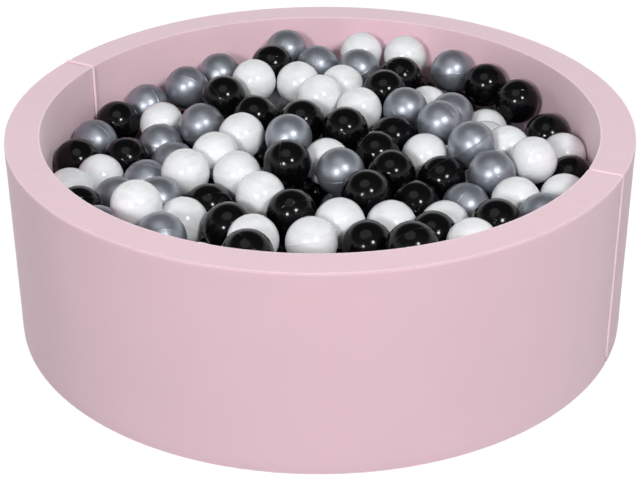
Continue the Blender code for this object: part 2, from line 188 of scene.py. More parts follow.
class PitBallSettings(bpy.types.PropertyGroup):
    """Size and colours of the play balls."""

    diameter: length("Diameter", 0.070, "Across a ball")
    parting_ridge: length("Parting ridge", 0.00034, "Height of the moulding line round a ball")
    silver: colour("Silver", "#979CA5", "Colour of the silver balls")
    black: colour("Black", "#08080A", "Colour of the black balls")
    white: colour("White", "#ECEEF0", "Colour of the white balls")


class PitStageSettings(bpy.types.PropertyGroup):
    """Camera and lights."""

    lens: amount("Lens", 90.54, "Focal length of the camera in mm", "DISTANCE_CAMERA")
    near_lamp: amount("Near lamp", 272.0, "Power of the low lamp in front, in watts", "POWER")
    right_lamp: amount("Right lamp", 285.0, "Power of the lamp on the right, in watts", "POWER")
    overhead_box: amount("Overhead box", 6.0, "Power of the softbox overhead, in watts", "POWER")
    walls_behind: amount("Walls behind", 1.6, "Light from the studio's walls behind the pit")
    walls_before: amount("Walls before", 0.02, "Light from the walls on the camera's side")
    ceiling_behind: amount("Ceiling behind", 0.08, "Light from the ceiling behind the pit")
    ceiling_before: amount("Ceiling before", 0.23, "Light from the ceiling on the camera's side")
    floor_glow: amount("Floor glow", 0.90, "Added to the floor where it is looked at")


# Materials


def add_node(tree, kind, settings=None, **sockets):
    """Adds a node, with its settings and its inputs: a value, or another node's output to link."""
    node = tree.nodes.new(kind)
    for name, value in (settings or {}).items():
        setattr(node, name, value)
    for name, value in sockets.items():
        key = int(name[1:]) if name[0] == "i" and name[1:].isdigit() else name.replace("_", " ")
        if isinstance(value, bpy.types.NodeSocket):
            tree.links.new(value, node.inputs[key])
        else:
            node.inputs[key].default_value = value
    return node


def new_material(name):
    """A material with its node tree and its surface shader."""
    made = bpy.data.materials.new(name)
    made.use_nodes = True
    return made, made.node_tree, made.node_tree.nodes["Principled BSDF"]


def set_up(shader, **sockets):
    """Sets a shader's own sockets."""
    for name, value in sockets.items():
        shader.inputs[name.replace("_", " ")].default_value = value


def tinted(tree, factor, base, spread, low_at=0.3, high_at=0.7):
    """A colour that goes from a little darker than its base to a little lighter as a factor rises."""
    ramp = add_node(tree, "ShaderNodeValToRGB", Fac=factor)
    for stop, place, share in zip(ramp.color_ramp.elements, (low_at, high_at), (1 - spread, 1 + spread)):
        stop.position = place
        stop.color = (*(min(1, c * share) for c in base[:3]), 1)
    return ramp.outputs["Color"]


def jersey_knit(name, base, pitch_mm=1.6):
    """Brushed cotton jersey, knitted: columns of small V loops, soft and matt, with a faint pile."""
    made, tree, shader = new_material(name)
    # such a knit has its wales about 0.9 mm apart; they are drawn 1.6 mm apart, or they wouldn't show
    uv = add_node(tree, "ShaderNodeUVMap", {"uv_map": "cloth"}).outputs["UV"]
    split = add_node(tree, "ShaderNodeSeparateXYZ", Vector=uv)
    times = {"operation": "MULTIPLY"}
    fold = {"operation": "PINGPONG"}
    across = add_node(tree, "ShaderNodeMath", times, i0=split.outputs["X"], i1=1000 / pitch_mm)
    wale = add_node(tree, "ShaderNodeMath", fold, i0=across.outputs[0], i1=0.5)
    along = add_node(tree, "ShaderNodeMath", times, i0=split.outputs["Y"], i1=1000 / pitch_mm)
    slanted = add_node(tree, "ShaderNodeMath", {"operation": "ADD"}, i0=along.outputs[0], i1=wale.outputs[0])
    loop = add_node(tree, "ShaderNodeMath", fold, i0=slanted.outputs[0], i1=0.5)
    knit = add_node(tree, "ShaderNodeMath", times, i0=wale.outputs[0], i1=loop.outputs[0])
    place = add_node(tree, "ShaderNodeTexCoord").outputs["Object"]
    pile = add_node(tree, "ShaderNodeTexNoise", Vector=place, Scale=900.0, Detail=2.0)
    cloud = add_node(tree, "ShaderNodeTexNoise", Vector=place, Scale=7.0, Detail=3.0, Roughness=0.6)
    blend = {"data_type": "FLOAT"}
    tone = add_node(tree, "ShaderNodeMix", blend, i0=0.35, i2=cloud.outputs["Fac"], i3=pile.outputs["Fac"])
    tree.links.new(tinted(tree, tone.outputs[0], base, 0.025), shader.inputs["Base Color"])
    soft = add_node(tree, "ShaderNodeBump", Strength=0.12, Distance=0.0004, Height=pile.outputs["Fac"])
    bump = add_node(
        tree, "ShaderNodeBump", Strength=0.25, Distance=0.0004, Height=knit.outputs[0], Normal=soft.outputs[0]
    )
    tree.links.new(bump.outputs[0], shader.inputs["Normal"])
    set_up(shader, Roughness=0.75, Sheen_Weight=0.45, Sheen_Roughness=0.7, Specular_IOR_Level=0.35)
    return made


def non_slip_cloth(name, base):
    """Woven polyester with printed vinyl dots: a dull ground with rows of small raised, shinier dots."""
    made, tree, shader = new_material(name)
    place = add_node(tree, "ShaderNodeTexCoord").outputs["Object"]
    # dots about 7 mm apart
    dots = add_node(
        tree, "ShaderNodeTexVoronoi", {"voronoi_dimensions": "2D"}, Vector=place, Scale=140.0, Randomness=0.0
    )
    weave = add_node(tree, "ShaderNodeTexNoise", Vector=place, Scale=600.0)
    dot = add_node(
        tree, "ShaderNodeMapRange", Value=dots.outputs["Distance"], i1=0.30, i2=0.22, i3=0.0, i4=1.0
    )
    tree.links.new(tinted(tree, dot.outputs[0], base, 0.15, 0.0, 1.0), shader.inputs["Base Color"])
    shine = add_node(tree, "ShaderNodeMapRange", Value=dot.outputs[0], i3=0.85, i4=0.45)
    tree.links.new(shine.outputs[0], shader.inputs["Roughness"])
    fine = add_node(tree, "ShaderNodeBump", Strength=0.3, Distance=0.0004, Height=weave.outputs["Fac"])
    bump = add_node(
        tree, "ShaderNodeBump", Strength=0.6, Distance=0.0008, Height=dot.outputs[0], Normal=fine.outputs[0]
    )
    tree.links.new(bump.outputs[0], shader.inputs["Normal"])
    set_up(shader, Specular_IOR_Level=0.3)
    return made


def woven_tape(name, base, pitch_mm=1.0):
    """Woven nylon tape: a plain over-and-under weave with a dry, slightly shiny face."""
    made, tree, shader = new_material(name)
    place = add_node(tree, "ShaderNodeTexCoord").outputs["Object"]
    # the straight bands of a wave texture repeat every 2 pi / 20 units at scale 1
    threads = 1000 / pitch_mm * 2 * math.pi / 20
    warp = add_node(tree, "ShaderNodeTexWave", {"bands_direction": "Z"}, Vector=place, Scale=threads)
    weft = add_node(tree, "ShaderNodeTexWave", {"bands_direction": "DIAGONAL"}, Vector=place, Scale=threads)
    weave = add_node(
        tree, "ShaderNodeMath", {"operation": "MULTIPLY"}, i0=warp.outputs["Fac"], i1=weft.outputs["Fac"]
    )
    tree.links.new(tinted(tree, weave.outputs[0], base, 0.08, 0.0, 1.0), shader.inputs["Base Color"])
    bump = add_node(tree, "ShaderNodeBump", Strength=0.5, Distance=0.0003, Height=weave.outputs[0])
    tree.links.new(bump.outputs[0], shader.inputs["Normal"])
    set_up(shader, Roughness=0.6, Specular_IOR_Level=0.35)
    return made


def drawn_nylon(name, base):
    """Drawn nylon monofilament of the hooks, loops and coils: smooth, pale and softly shiny."""
    made, tree, shader = new_material(name)
    place = add_node(tree, "ShaderNodeTexCoord").outputs["Object"]
    drawn = add_node(tree, "ShaderNodeTexNoise", Vector=place, Scale=260.0)
    tree.links.new(tinted(tree, drawn.outputs["Fac"], base, 0.06), shader.inputs["Base Color"])
    rough = add_node(tree, "ShaderNodeMapRange", Value=drawn.outputs["Fac"], i3=0.28, i4=0.42)
    tree.links.new(rough.outputs[0], shader.inputs["Roughness"])
    set_up(shader, IOR=1.53)
    return made


def nickel_plated_zinc(name):
    """Die-cast zinc with nickel plating, tumbled: bright grey metal with faint soft scratches."""
    made, tree, shader = new_material(name)
    place = add_node(tree, "ShaderNodeTexCoord").outputs["Object"]
    worn = add_node(tree, "ShaderNodeTexNoise", Vector=place, Scale=900.0, Detail=4.0)
    tree.links.new(tinted(tree, worn.outputs["Fac"], linear("#B9BBBE"), 0.1), shader.inputs["Base Color"])
    rough = add_node(tree, "ShaderNodeMapRange", Value=worn.outputs["Fac"], i3=0.22, i4=0.42)
    tree.links.new(rough.outputs[0], shader.inputs["Roughness"])
    set_up(shader, Metallic=1.0)
    return made


def blow_moulded_polyethylene(name, base, metallic, roughness, coat, shine=0.5):
    """Blow-moulded polyethylene with its pigment: glossy, with slight flow marks and fine scuffs."""
    made, tree, shader = new_material(name)
    place = add_node(tree, "ShaderNodeTexCoord").outputs["Object"]
    stretched = add_node(tree, "ShaderNodeMapping", Vector=place, Scale=(1.0, 1.0, 3.0))
    flow = add_node(
        tree, "ShaderNodeTexNoise", Vector=stretched.outputs[0], Scale=22.0, Detail=4.0, Distortion=1.2
    )
    scuffs = add_node(tree, "ShaderNodeTexNoise", Vector=place, Scale=260.0, Detail=3.0)
    tree.links.new(tinted(tree, flow.outputs["Fac"], base, 0.08), shader.inputs["Base Color"])
    scuffed = roughness + 0.12
    rough = add_node(
        tree, "ShaderNodeMapRange", Value=scuffs.outputs["Fac"], i1=0.45, i2=0.75, i3=roughness, i4=scuffed
    )
    tree.links.new(rough.outputs[0], shader.inputs["Roughness"])
    bump = add_node(tree, "ShaderNodeBump", Strength=0.10, Distance=0.0006, Height=flow.outputs["Fac"])
    tree.links.new(bump.outputs[0], shader.inputs["Normal"])
    set_up(shader, Metallic=metallic, Coat_Weight=coat, Coat_Roughness=0.12, Specular_IOR_Level=shine)
    if not metallic:
        set_up(shader, IOR=1.51)
    return made


# Each finish: its material's name, what makes it, and the setting or values that it is made from
FINISHES = {
    "jersey": ("brushed_jersey", jersey_knit, "pit_wall", "fabric", ()),
    # the paler jersey is a painted highlight on the edge beads and the piping
    "painted_highlight_jersey": ("tight_brushed_jersey", jersey_knit, "pit_wall", "painted_highlight_fabric", ()),
    "tape": ("woven_nylon_tape", woven_tape, "pit_wall", "trim", ()),
    "filament": ("nylon_filament", drawn_nylon, "pit_wall", "trim", ()),
    "non_slip": ("vinyl_dotted_polyester", non_slip_cloth, "pit_mat", "base", ()),
    "silver": ("silver_polyethylene", blow_moulded_polyethylene, "pit_balls", "silver", (0.75, 0.38, 0.12)),
    "black": ("black_polyethylene", blow_moulded_polyethylene, "pit_balls", "black", (0.0, 0.10, 0.0, 0.22)),
    "white": ("white_polyethylene", blow_moulded_polyethylene, "pit_balls", "white", (0.0, 0.16, 0.0, 0.4)),
}


def finish(key):
    """The material of a finish, made when a piece first needs it."""
    name, make, group, setting, values = FINISHES[key]
    base = getattr(getattr(bpy.context.scene, group), setting)
    return bpy.data.materials.get(name) or make(name, base, *values)


# Shared modelling


def link(name, mesh, *materials, angle_deg=None):
    """An object from a mesh, shaded smooth, in the scene's collection."""
    for made in materials:
        mesh.materials.append(made)
    mesh.shade_smooth()
    if angle_deg is not None:
        mesh.set_sharp_from_angle(angle=math.radians(angle_deg))
    made = bpy.data.objects.new(name, mesh)
    bpy.context.scene.collection.objects.link(made)
    return made


def mesh_from(name, places, faces):
    """A mesh of closed shells, with all faces turned outwards."""
    mesh = bpy.data.meshes.new(name)
    mesh.from_pydata([tuple(map(float, p)) for p in places], [], faces)
    turned = bmesh.new()
    turned.from_mesh(mesh)
    bmesh.ops.recalc_face_normals(turned, faces=turned.faces)
    turned.to_mesh(mesh)
    turned.free()
    return mesh


def joined(shapes):
    """The places and faces of several shapes as one."""
    places, faces = [], []
    for more_places, more_faces in shapes:
        start = len(places)
        places += more_places
        faces += [tuple(start + v for v in face) for face in more_faces]
    return places, faces


def cylinder_point(radius, turn, z):
    return Vector((radius * math.cos(turn), radius * math.sin(turn), z))


def lofted(rings):
    """A solid through rings of as many points each, capped at its ends."""
    size = len(rings[0])
    places = [point for ring in rings for point in ring]
    faces = []
    for r in range(len(rings) - 1):
        a, b = r * size, (r + 1) * size
        faces += [(a + k, a + (k + 1) % size, b + (k + 1) % size, b + k) for k in range(size)]
    faces += [tuple(range(size)), tuple(range(len(places) - size, len(places)))]
    return places, faces


def cord(points, radius, sides, aside):
    """A round cord through points in a plane that is square to `aside`."""
    rings = []
    for k, point in enumerate(points):
        ahead = (points[min(k + 1, len(points) - 1)] - points[max(k - 1, 0)]).normalized()
        other = ahead.cross(aside)
        turns = [2 * math.pi * s / sides for s in range(sides)]
        rings.append([point + radius * (math.cos(t) * aside + math.sin(t) * other) for t in turns])
    return lofted(rings)


def swept(outline, turns):
    """A solid of one (radius, height) outline, swept round the pit's middle."""
    return lofted([[cylinder_point(r, turn, z) for r, z in outline] for turn in turns])


def arc(middle, radius, degrees):
    """Points of a rounding in the (radius, height) plane."""
    turns = [math.radians(d) for d in degrees]
    return [(middle[0] + radius * math.cos(t), middle[1] + radius * math.sin(t)) for t in turns]


def smoother(piece):
    step = piece.modifiers.new("smoother", "SUBSURF")
    step.levels = step.render_levels = 1


# A face with more than this of its normal along a direction counts as facing it
FACING = 0.7


def cloth_map(mesh, around):
    """Lays the knit over a mesh in metres: straight on level faces, round the pit on upright ones."""
    layer = mesh.uv_layers.new(name="cloth")
    for face in mesh.polygons:
        middle = math.atan2(face.center.y, face.center.x)
        is_level = abs(face.normal.z) > FACING
        is_end = abs(face.normal.dot(cylinder_point(1, middle + math.pi / 2, 0))) > FACING
        for loop in face.loop_indices:
            p = mesh.vertices[mesh.loops[loop].vertex_index].co
            turn = middle + math.remainder(math.atan2(p.y, p.x) - middle, 2 * math.pi)
            along = math.hypot(p.x, p.y) if is_end else turn * around
            layer.data[loop].uv = (p.x, p.y) if is_level else (along, p.z)


def puffed(piece, sewn, cap, growth=0.004, pressure=2.5, frames=16):
    """The foam presses the cloth out between its sewn rows: a cloth simulation, capped and applied."""
    group = piece.vertex_groups.new(name="sewn")
    group.add(sewn, 1.0, "REPLACE")
    cloth = piece.modifiers.new("cover", "CLOTH")
    cloth.settings.quality = 5
    cloth.settings.mass = 0.2
    cloth.settings.tension_stiffness = 12
    cloth.settings.compression_stiffness = 12
    cloth.settings.shear_stiffness = 4
    cloth.settings.bending_stiffness = 0.4
    cloth.settings.air_damping = 3
    cloth.settings.use_pressure = True
    cloth.settings.uniform_pressure_force = pressure
    cloth.settings.effector_weights.gravity = 0
    cloth.settings.vertex_group_mass = group.name
    cloth.settings.shrink_min = -growth
    cloth.collision_settings.use_collision = False
    cloth.collision_settings.use_self_collision = False
    scene = bpy.context.scene
    cloth.point_cache.frame_start, cloth.point_cache.frame_end = 1, frames
    for step in range(1, frames + 1):
        scene.frame_set(step)
    evaluated = piece.evaluated_get(bpy.context.evaluated_depsgraph_get())
    count = len(piece.data.vertices)
    swollen, rest = np.zeros(count * 3), np.zeros(count * 3)
    evaluated.data.vertices.foreach_get("co", swollen)
    piece.data.vertices.foreach_get("co", rest)
    piece.modifiers.remove(cloth)
    piece.vertex_groups.clear()
    scene.frame_set(1)
    rest = rest.reshape(-1, 3)
    moved = swollen.reshape(-1, 3) - rest
    far = np.linalg.norm(moved, axis=1)[:, None].clip(1e-9)
    piece.data.vertices.foreach_set("co", (rest + moved / far * cap * np.tanh(far / cap)).ravel())
    piece.data.update()


# Wall

# Degrees round a sewn edge, and the share of the bead by which the cloth stands out there
EDGE_BEAD = {0: 0, 12: 0, 20: -0.15, 27: 0, 34: 0.7, 45: 1, 56: 0.7, 63: 0, 70: -0.15, 78: 0, 90: 0}
# Steps up a face, degrees from one section to the next, and the turns of those at a rounded end
FACE_STEPS = 26
STATION_STEP_DEG = 1.25
END_DEGS = (20, 30, 42, 54, 66, 78, 90)
# Shares of the edge's rounding: how far in the stitches hold the cloth, and how wide the painted highlight
# along the bead is
SEWN_SHARE = 1.2
HIGHLIGHT_SHARE = 0.56
# Where a face has fallen back by almost two thirds, and where the inner edge's lip has faded as much
FACE_EASE = 0.010
LIP_REACH = 0.016
# Puckers by the sewn edges: their height, how far in they fade, and how often they come to a metre
PUCKER = {"height": 0.00022, "reach": 0.018, "per_metre": 48}
# A small fold near the floor: its place, its size, how far it stands out, its slant and its squeeze
FOLD = {"turn": -101.6, "z": 0.013, "size": 0.010, "proud": 0.0011, "slant": 0.8, "squeeze": 1.6}


def sewn_edge(middle, wall, first_deg):
    """A sewn edge: a rounding with the bead of its turned-in seam along the middle."""
    found = []
    for d, share in EDGE_BEAD.items():
        found += arc(middle, wall.edge_round + share * wall.edge_bead, (first_deg + d,))
    return found


def wall_middle(wall):
    return wall.outer_diameter / 2 - wall.thickness / 2


def wall_section(wall, inset):
    """The outer half of the wall's section, from the middle of the base to the middle of the top."""
    mid = wall_middle(wall)
    out = wall.outer_diameter / 2 - wall.edge_bead - inset
    top = wall.height - wall.edge_bead - inset
    r = wall.edge_round
    half_run = out - r - mid
    points = [(mid, inset), (mid + half_run / 2, inset)]
    points += sewn_edge((out - r, inset + r), wall, -90)
    start, stop = inset + r, top - r
    for k in range(1, FACE_STEPS):
        z = start + (stop - start) * k / FACE_STEPS
        points.append((out - hollowed(wall, min(z - start, stop - z)), z))
    points += sewn_edge((out - r, top - r), wall, 0)
    points += [(mid + half_run * k / 4, top - hollowed(wall, half_run * (1 - k / 4))) for k in (3, 2, 1)]
    points.append((mid, top - hollowed(wall, half_run)))
    return points


def hollowed(wall, from_edge):
    """How far a face lies back at a distance from its sewn edge."""
    return wall.hollow * (1 - math.exp(-from_edge / FACE_EASE))


def whole_section(wall, inset):
    """The wall's section all round, with the lip of its inner top edge."""
    mid = wall_middle(wall)
    outer = wall_section(wall, inset)
    lean = [wall.lip * math.exp(-(((wall.height - z) / LIP_REACH) ** 2)) for _, z in outer]
    return outer + [(2 * mid - r - lean[k] * (r > mid), z) for k, (r, z) in list(enumerate(outer))[-2:0:-1]]


def wall_stations(wall, start, stop, rounds):
    """Angles and insets of the sections of a half ring, close together at its rounded ends."""
    mid = wall_middle(wall)
    arcs = [math.radians(d) for d in END_DEGS]
    ends = [[e * (math.cos(arcs[0]) - math.cos(a)) / mid for a in arcs] for e in rounds]
    drawn = [[e * (1 - math.sin(a)) for a in arcs] for e in rounds]
    first, last = start + ends[0][-1], stop - ends[1][-1]
    count = round(math.degrees(last - first) / STATION_STEP_DEG)
    middle = [first + (last - first) * k / count for k in range(1, count)]
    return (
        [start + a for a in ends[0]] + middle + [stop - a for a in reversed(ends[1])],
        drawn[0] + [0.0] * len(middle) + drawn[1][::-1],
    )


def tugged(turn, r, z, wall):
    """Where the stitches tug the cloth: slight puckers by the sewn edges, and one small fold."""
    point = cylinder_point(r, turn, z)
    edge = min(z, wall.height - z) - wall.edge_round
    is_outer = r > wall_middle(wall)
    if edge > 0:
        fading = math.exp(-((edge / PUCKER["reach"]) ** 2))
        pucker = PUCKER["height"] * fading * noise.noise(point * PUCKER["per_metre"])
        beside = math.remainder(turn - math.radians(FOLD["turn"]), 2 * math.pi) * r
        above = z - FOLD["z"]
        away = math.hypot(beside + FOLD["slant"] * above, FOLD["squeeze"] * above) / FOLD["size"]
        r += pucker + FOLD["proud"] * is_outer * math.exp(-away * away)
    return cylinder_point(r, turn, z)


def wall_mesh(name, wall, start, stop, rounds):
    """A half ring's closed skin with a cloth map in metres, and the rows that are sewn."""
    turns, insets = wall_stations(wall, start, stop, rounds)
    rings = []
    for turn, inset in zip(turns, insets):
        rings.append([tugged(turn, r, z, wall) for r, z in whole_section(wall, inset)])
    mesh = mesh_from(name, *lofted(rings))
    cloth_map(mesh, wall_middle(wall))
    section = whole_section(wall, 0.0)
    rows = [k for k, point in enumerate(section) if is_sewn(wall, point)]
    size = len(section)
    # faces on the beads of the top edges take the paler jersey, a painted highlight
    highlit = {k for k, point in enumerate(section) if is_painted_highlight(wall, point)}
    for face in mesh.polygons:
        face.material_index = int(all(v % size in highlit for v in face.vertices))
    sewn = {s * size + k for s in range(len(turns)) for k in rows}
    edge_stations = (*range(len(END_DEGS)), *range(len(turns) - len(END_DEGS), len(turns)))
    sewn.update(s * size + k for s in edge_stations for k in range(size))
    return mesh, sorted(sewn)


def is_sewn(wall, point):
    """Whether a point of the section lies on a sewn edge or on the base."""
    reach = SEWN_SHARE * wall.edge_round
    away = wall.thickness / 2 - abs(point[0] - wall_middle(wall))
    return point[1] < reach or (away < reach and point[1] > wall.height - reach)


def is_painted_highlight(wall, point):
    """Whether a point of the section lies on the bead of a top edge, which is painted paler as a highlight.
    """
    reach = wall.edge_bead + HIGHLIGHT_SHARE * wall.edge_round
    away = wall.thickness / 2 - abs(point[0] - wall_middle(wall))
    return away < reach and point[1] > wall.height - reach


def seam_turns(wall):
    """Where each half begins and ends, from its middle plane and the gaps of the two seams."""
    mid = wall_middle(wall)
    sewn, closed = wall.sewn_gap / 2 / mid, wall.closed_gap / 2 / mid
    return {
        "back": (wall.closing_seam + closed, wall.hinge_seam - sewn),
        "front": (wall.hinge_seam + sewn, wall.closing_seam + 2 * math.pi - closed),
    }


class BALLPIT_OT_wall(bpy.types.Operator):
    """Make the two upholstered halves of the wall."""

    bl_idname = "ball_pit.make_wall"
    bl_label = "Wall cushions"

    def execute(self, context):
        wall = context.scene.pit_wall
        rounds = {
            "back": (wall.closing_round, wall.hinge_round),
            "front": (wall.hinge_round, wall.closing_round),
        }
        for half, (start, stop) in seam_turns(wall).items():
            mesh, sewn = wall_mesh(f"{half}_wall_cushion", wall, start, stop, rounds[half])
            # the beads of the top edges get the paler jersey, a painted highlight
            piece = link(f"{half}_wall_cushion", mesh, finish("jersey"), finish("painted_highlight_jersey"))
            puffed(piece, sewn, wall.crown)
            smoother(piece)
            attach(piece, HALVES[half])
            covers = ("outer_cover", "top_cover", "inner_cover", "base_cover")
            ends = ("hinge_end_cover", "closure_end_cover", "wall_foam")
            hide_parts(*(f"{half}_{name}" for name in covers + ends))
        return {"FINISHED"}


# The piping's route: how much wider than the edge it bends, its steps up a face and half across the
# top, and its sides; and how far and how often the cord strays
PIPING = {"ease": 0.001, "rises": 40, "runs": 6, "sides": 12, "stray": 0.00012, "per_metre": 70}


def piping_mesh(name, wall, low, turn, depth):
    """A cord in its sleeve of cloth: up the outer side, over the top and down the inner side."""
    mid = wall_middle(wall)
    out = wall.outer_diameter / 2 - wall.edge_bead - depth
    top = wall.height - wall.edge_bead - depth
    bend = wall.edge_round + PIPING["ease"]
    foot = low + wall.piping_radius
    rises, runs = PIPING["rises"], PIPING["runs"]
    half = [(out, foot + (top - bend - foot) * k / rises) for k in range(rises + 1)]
    half += arc((out - bend, top - bend), bend, (20, 40, 60, 80))
    half += [(out - bend - (out - bend - mid) * k / runs, top) for k in range(1, runs + 1)]
    route = half + [(2 * mid - r, z) for r, z in half[-2::-1]]
    points = [cylinder_point(r, turn, z) for r, z in route]
    aside = cylinder_point(1, turn + math.pi / 2, 0)
    places, faces = cord(points, wall.piping_radius, PIPING["sides"], aside)
    places = [p + PIPING["stray"] * noise.noise(p * PIPING["per_metre"]) * aside for p in places]
    mesh = mesh_from(name, places, faces)
    cloth_map(mesh, mid)
    return mesh


class BALLPIT_OT_piping(bpy.types.Operator):
    """Make the piping in the two upright seams."""

    bl_idname = "ball_pit.make_piping"
    bl_label = "Piping"

    def execute(self, context):
        wall = context.scene.pit_wall
        seams = (
            ("hinge", wall.hinge_seam, wall.hinge_depth),
            ("closure", wall.closing_seam, wall.closing_depth),
        )
        for seam, turn, depth in seams:
            low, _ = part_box(f"{seam}_welt")
            mesh = piping_mesh(f"{seam}_piping", wall, low.z, turn, depth)
            # the piping is all in the paler jersey, a painted highlight
            piece = link(f"{seam}_piping", mesh, finish("painted_highlight_jersey"))
            smoother(piece)
            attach(piece, BACK_BODY)
            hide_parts(f"{seam}_welt")
        return {"FINISHED"}


# Tapes and zips

FILAMENT_PITCH = 0.0024
FILAMENT_RADIUS = 0.00016
# A tape's woven back, its full thickness, its air to the seam's middle, and its cut corners
TAPE_BACK = 0.0005
TAPE_FULL = 0.0012
TAPE_AIR = 0.00015
TAPE_BEVEL = 0.0008
# Hooks and loops: their bends as shares along and up, how wide they lean, and their air to the
# seam's middle; the share of the back that is behind their roots, and how many pitches in they start
HOOK_BENDS = ((0, 0), (0, 0.55), (0.25, 0.95), (0.6, 1.0), (0.8, 0.7))
LOOP_BENDS = ((-0.8, 0), (-0.6, 0.7), (0, 1.0), (0.6, 0.7), (0.8, 0))
HOOK_LEAN = 0.0007
LOOP_LEAN = 0.0009
SEAM_AIR = 0.0002
ROOT_SHARE = 0.8
FIRST_SHARE = 0.8
COIL_PITCH = 0.0016
COIL_RADIUS = 0.00042
# A zip's tape: from the zip's middle to its far and near edges, its thickness and its ribs' height
ZIP_TAPE = {"wide": 0.010, "narrow": 0.0004, "thick": 0.0006, "rib": 0.0002}
# Its two ribs: the near one from the zip's middle, the far one from the tape's far edge
ZIP_RIBS = {"near_crest": 0.0012, "near_foot": 0.0024, "far_foot": 0.0012, "far_crest": 0.0006}
# A turn of the coil: its height over the tape's back, its shift to one side, and its bends in metres
COIL_RISE = 0.0011
COIL_SHIFT = 0.0006
COIL_BENDS = ((-0.0017, -0.0002), (-0.0013, 0.0004), (0, 0.0005), (0.0013, 0.0004), (0.0017, -0.0002))
ZIP_STEPS = 120
SLIDER_LENGTH = 0.009
# The lug on the slider's back: what the heights of its arch are shares of, and its bar's radius
LUG_SCALE = 0.0012
LUG_RADIUS = 0.0005
# The slider's sections along it, as shares of half its length and of its width
SLIDER_STATIONS = ((-1.0, 0.90), (-0.92, 1.0), (-0.3, 1.0), (0.3, 0.96), (0.86, 0.80), (1.0, 0.70))


def tape_shapes(wall, turn, way, is_hooked):
    """The woven back of a tape, and its rows of hooks or loops that stand out towards the seam."""
    mid = wall_middle(wall)
    inner, outer = mid - wall.tape_width / 2, mid + wall.tape_width / 2
    low, high = wall.tape_margin, wall.height - wall.tape_margin
    seam = cylinder_point(1, turn + way * math.pi / 2, 0)
    across = cylinder_point(1, turn, 0)
    face = TAPE_FULL + TAPE_AIR
    bevel = TAPE_BEVEL
    outline = [
        (inner + bevel, low), (outer - bevel, low), (outer, low + bevel), (outer, high - bevel),
        (outer - bevel, high), (inner + bevel, high), (inner, high - bevel), (inner, low + bevel),
    ]
    rings = [
        [across * r + Vector((0, 0, z)) + seam * depth for r, z in outline]
        for depth in (face, face - TAPE_BACK)
    ]
    back = lofted(rings)
    filaments = []
    bends, lean = (HOOK_BENDS, HOOK_LEAN) if is_hooked else (LOOP_BENDS, LOOP_LEAN)
    base = face - TAPE_BACK * ROOT_SHARE
    tall = base - SEAM_AIR - FILAMENT_RADIUS
    rows, columns = int((high - low) / FILAMENT_PITCH) - 1, int(wall.tape_width / FILAMENT_PITCH) - 1
    for row in range(rows):
        for column in range(columns):
            shift = (row % 2) * FILAMENT_PITCH / 2
            foot = across * (inner + FILAMENT_PITCH * (column + FIRST_SHARE) + shift)
            foot = foot + Vector((0, 0, low + FILAMENT_PITCH * (row + FIRST_SHARE)))
            path = [foot + seam * (base - tall * up) + Vector((0, 0, lean * along)) for along, up in bends]
            filaments.append(cord(path, FILAMENT_RADIUS, 4, across))
    return back, joined(filaments)


class BALLPIT_OT_tapes(bpy.types.Operator):
    """Make the hook and loop tapes on the ends that open."""

    bl_idname = "ball_pit.make_tapes"
    bl_label = "Hook and loop tapes"

    def execute(self, context):
        wall = context.scene.pit_wall
        for kind, way, body in (("loop", 1, BACK_BODY), ("hook", -1, FRONT_BODY)):
            back, filaments = tape_shapes(wall, wall.closing_seam, way, kind == "hook")
            for part, shape, cloth in (("tape", back, "tape"), ("filaments", filaments, "filament")):
                name = f"{kind}_{part}"
                piece = link(name, mesh_from(name, *shape), finish(cloth), angle_deg=40)
                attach(piece, body)
                if part == "tape":
                    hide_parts(f"closure_{kind}_tape")
        return {"FINISHED"}


def zip_shapes(radius, way, height, start, stop):
    """A closed zip: two tapes side by side, and the interlocking turns of its coil over them."""
    wide, narrow, thick, rib = ZIP_TAPE.values()
    near_crest, near_foot, far_foot, far_crest = ZIP_RIBS.values()
    tape, face = radius, radius + way * thick
    turns = [start + (stop - start) * k / ZIP_STEPS for k in range(ZIP_STEPS + 1)]
    tapes = []
    for side in (-1, 1):
        outline = [
            (tape, height + side * narrow), (face, height + side * narrow),
            (face + way * rib, height + side * near_crest), (face, height + side * near_foot),
            (face, height + side * (wide - far_foot)),
            (face + way * rib, height + side * (wide - far_crest)),
            (face, height + side * wide), (tape, height + side * wide),
        ]
        tapes.append(swept(outline, turns))
    teeth = []
    coil = radius + way * COIL_RISE
    count = int(abs(stop - start) * radius / COIL_PITCH)
    for k in range(1, count):
        turn = start + (stop - start) * k / count
        shift = COIL_SHIFT * (1 if k % 2 else -1)
        outward = cylinder_point(way, turn, 0)
        aside = cylinder_point(1, turn + math.pi / 2, 0)
        middle = cylinder_point(coil, turn, height + shift)
        path = [middle + outward * up + Vector((0, 0, along)) for along, up in COIL_BENDS]
        teeth.append(cord(path, COIL_RADIUS, 5, aside))
    return joined(tapes), joined(teeth)


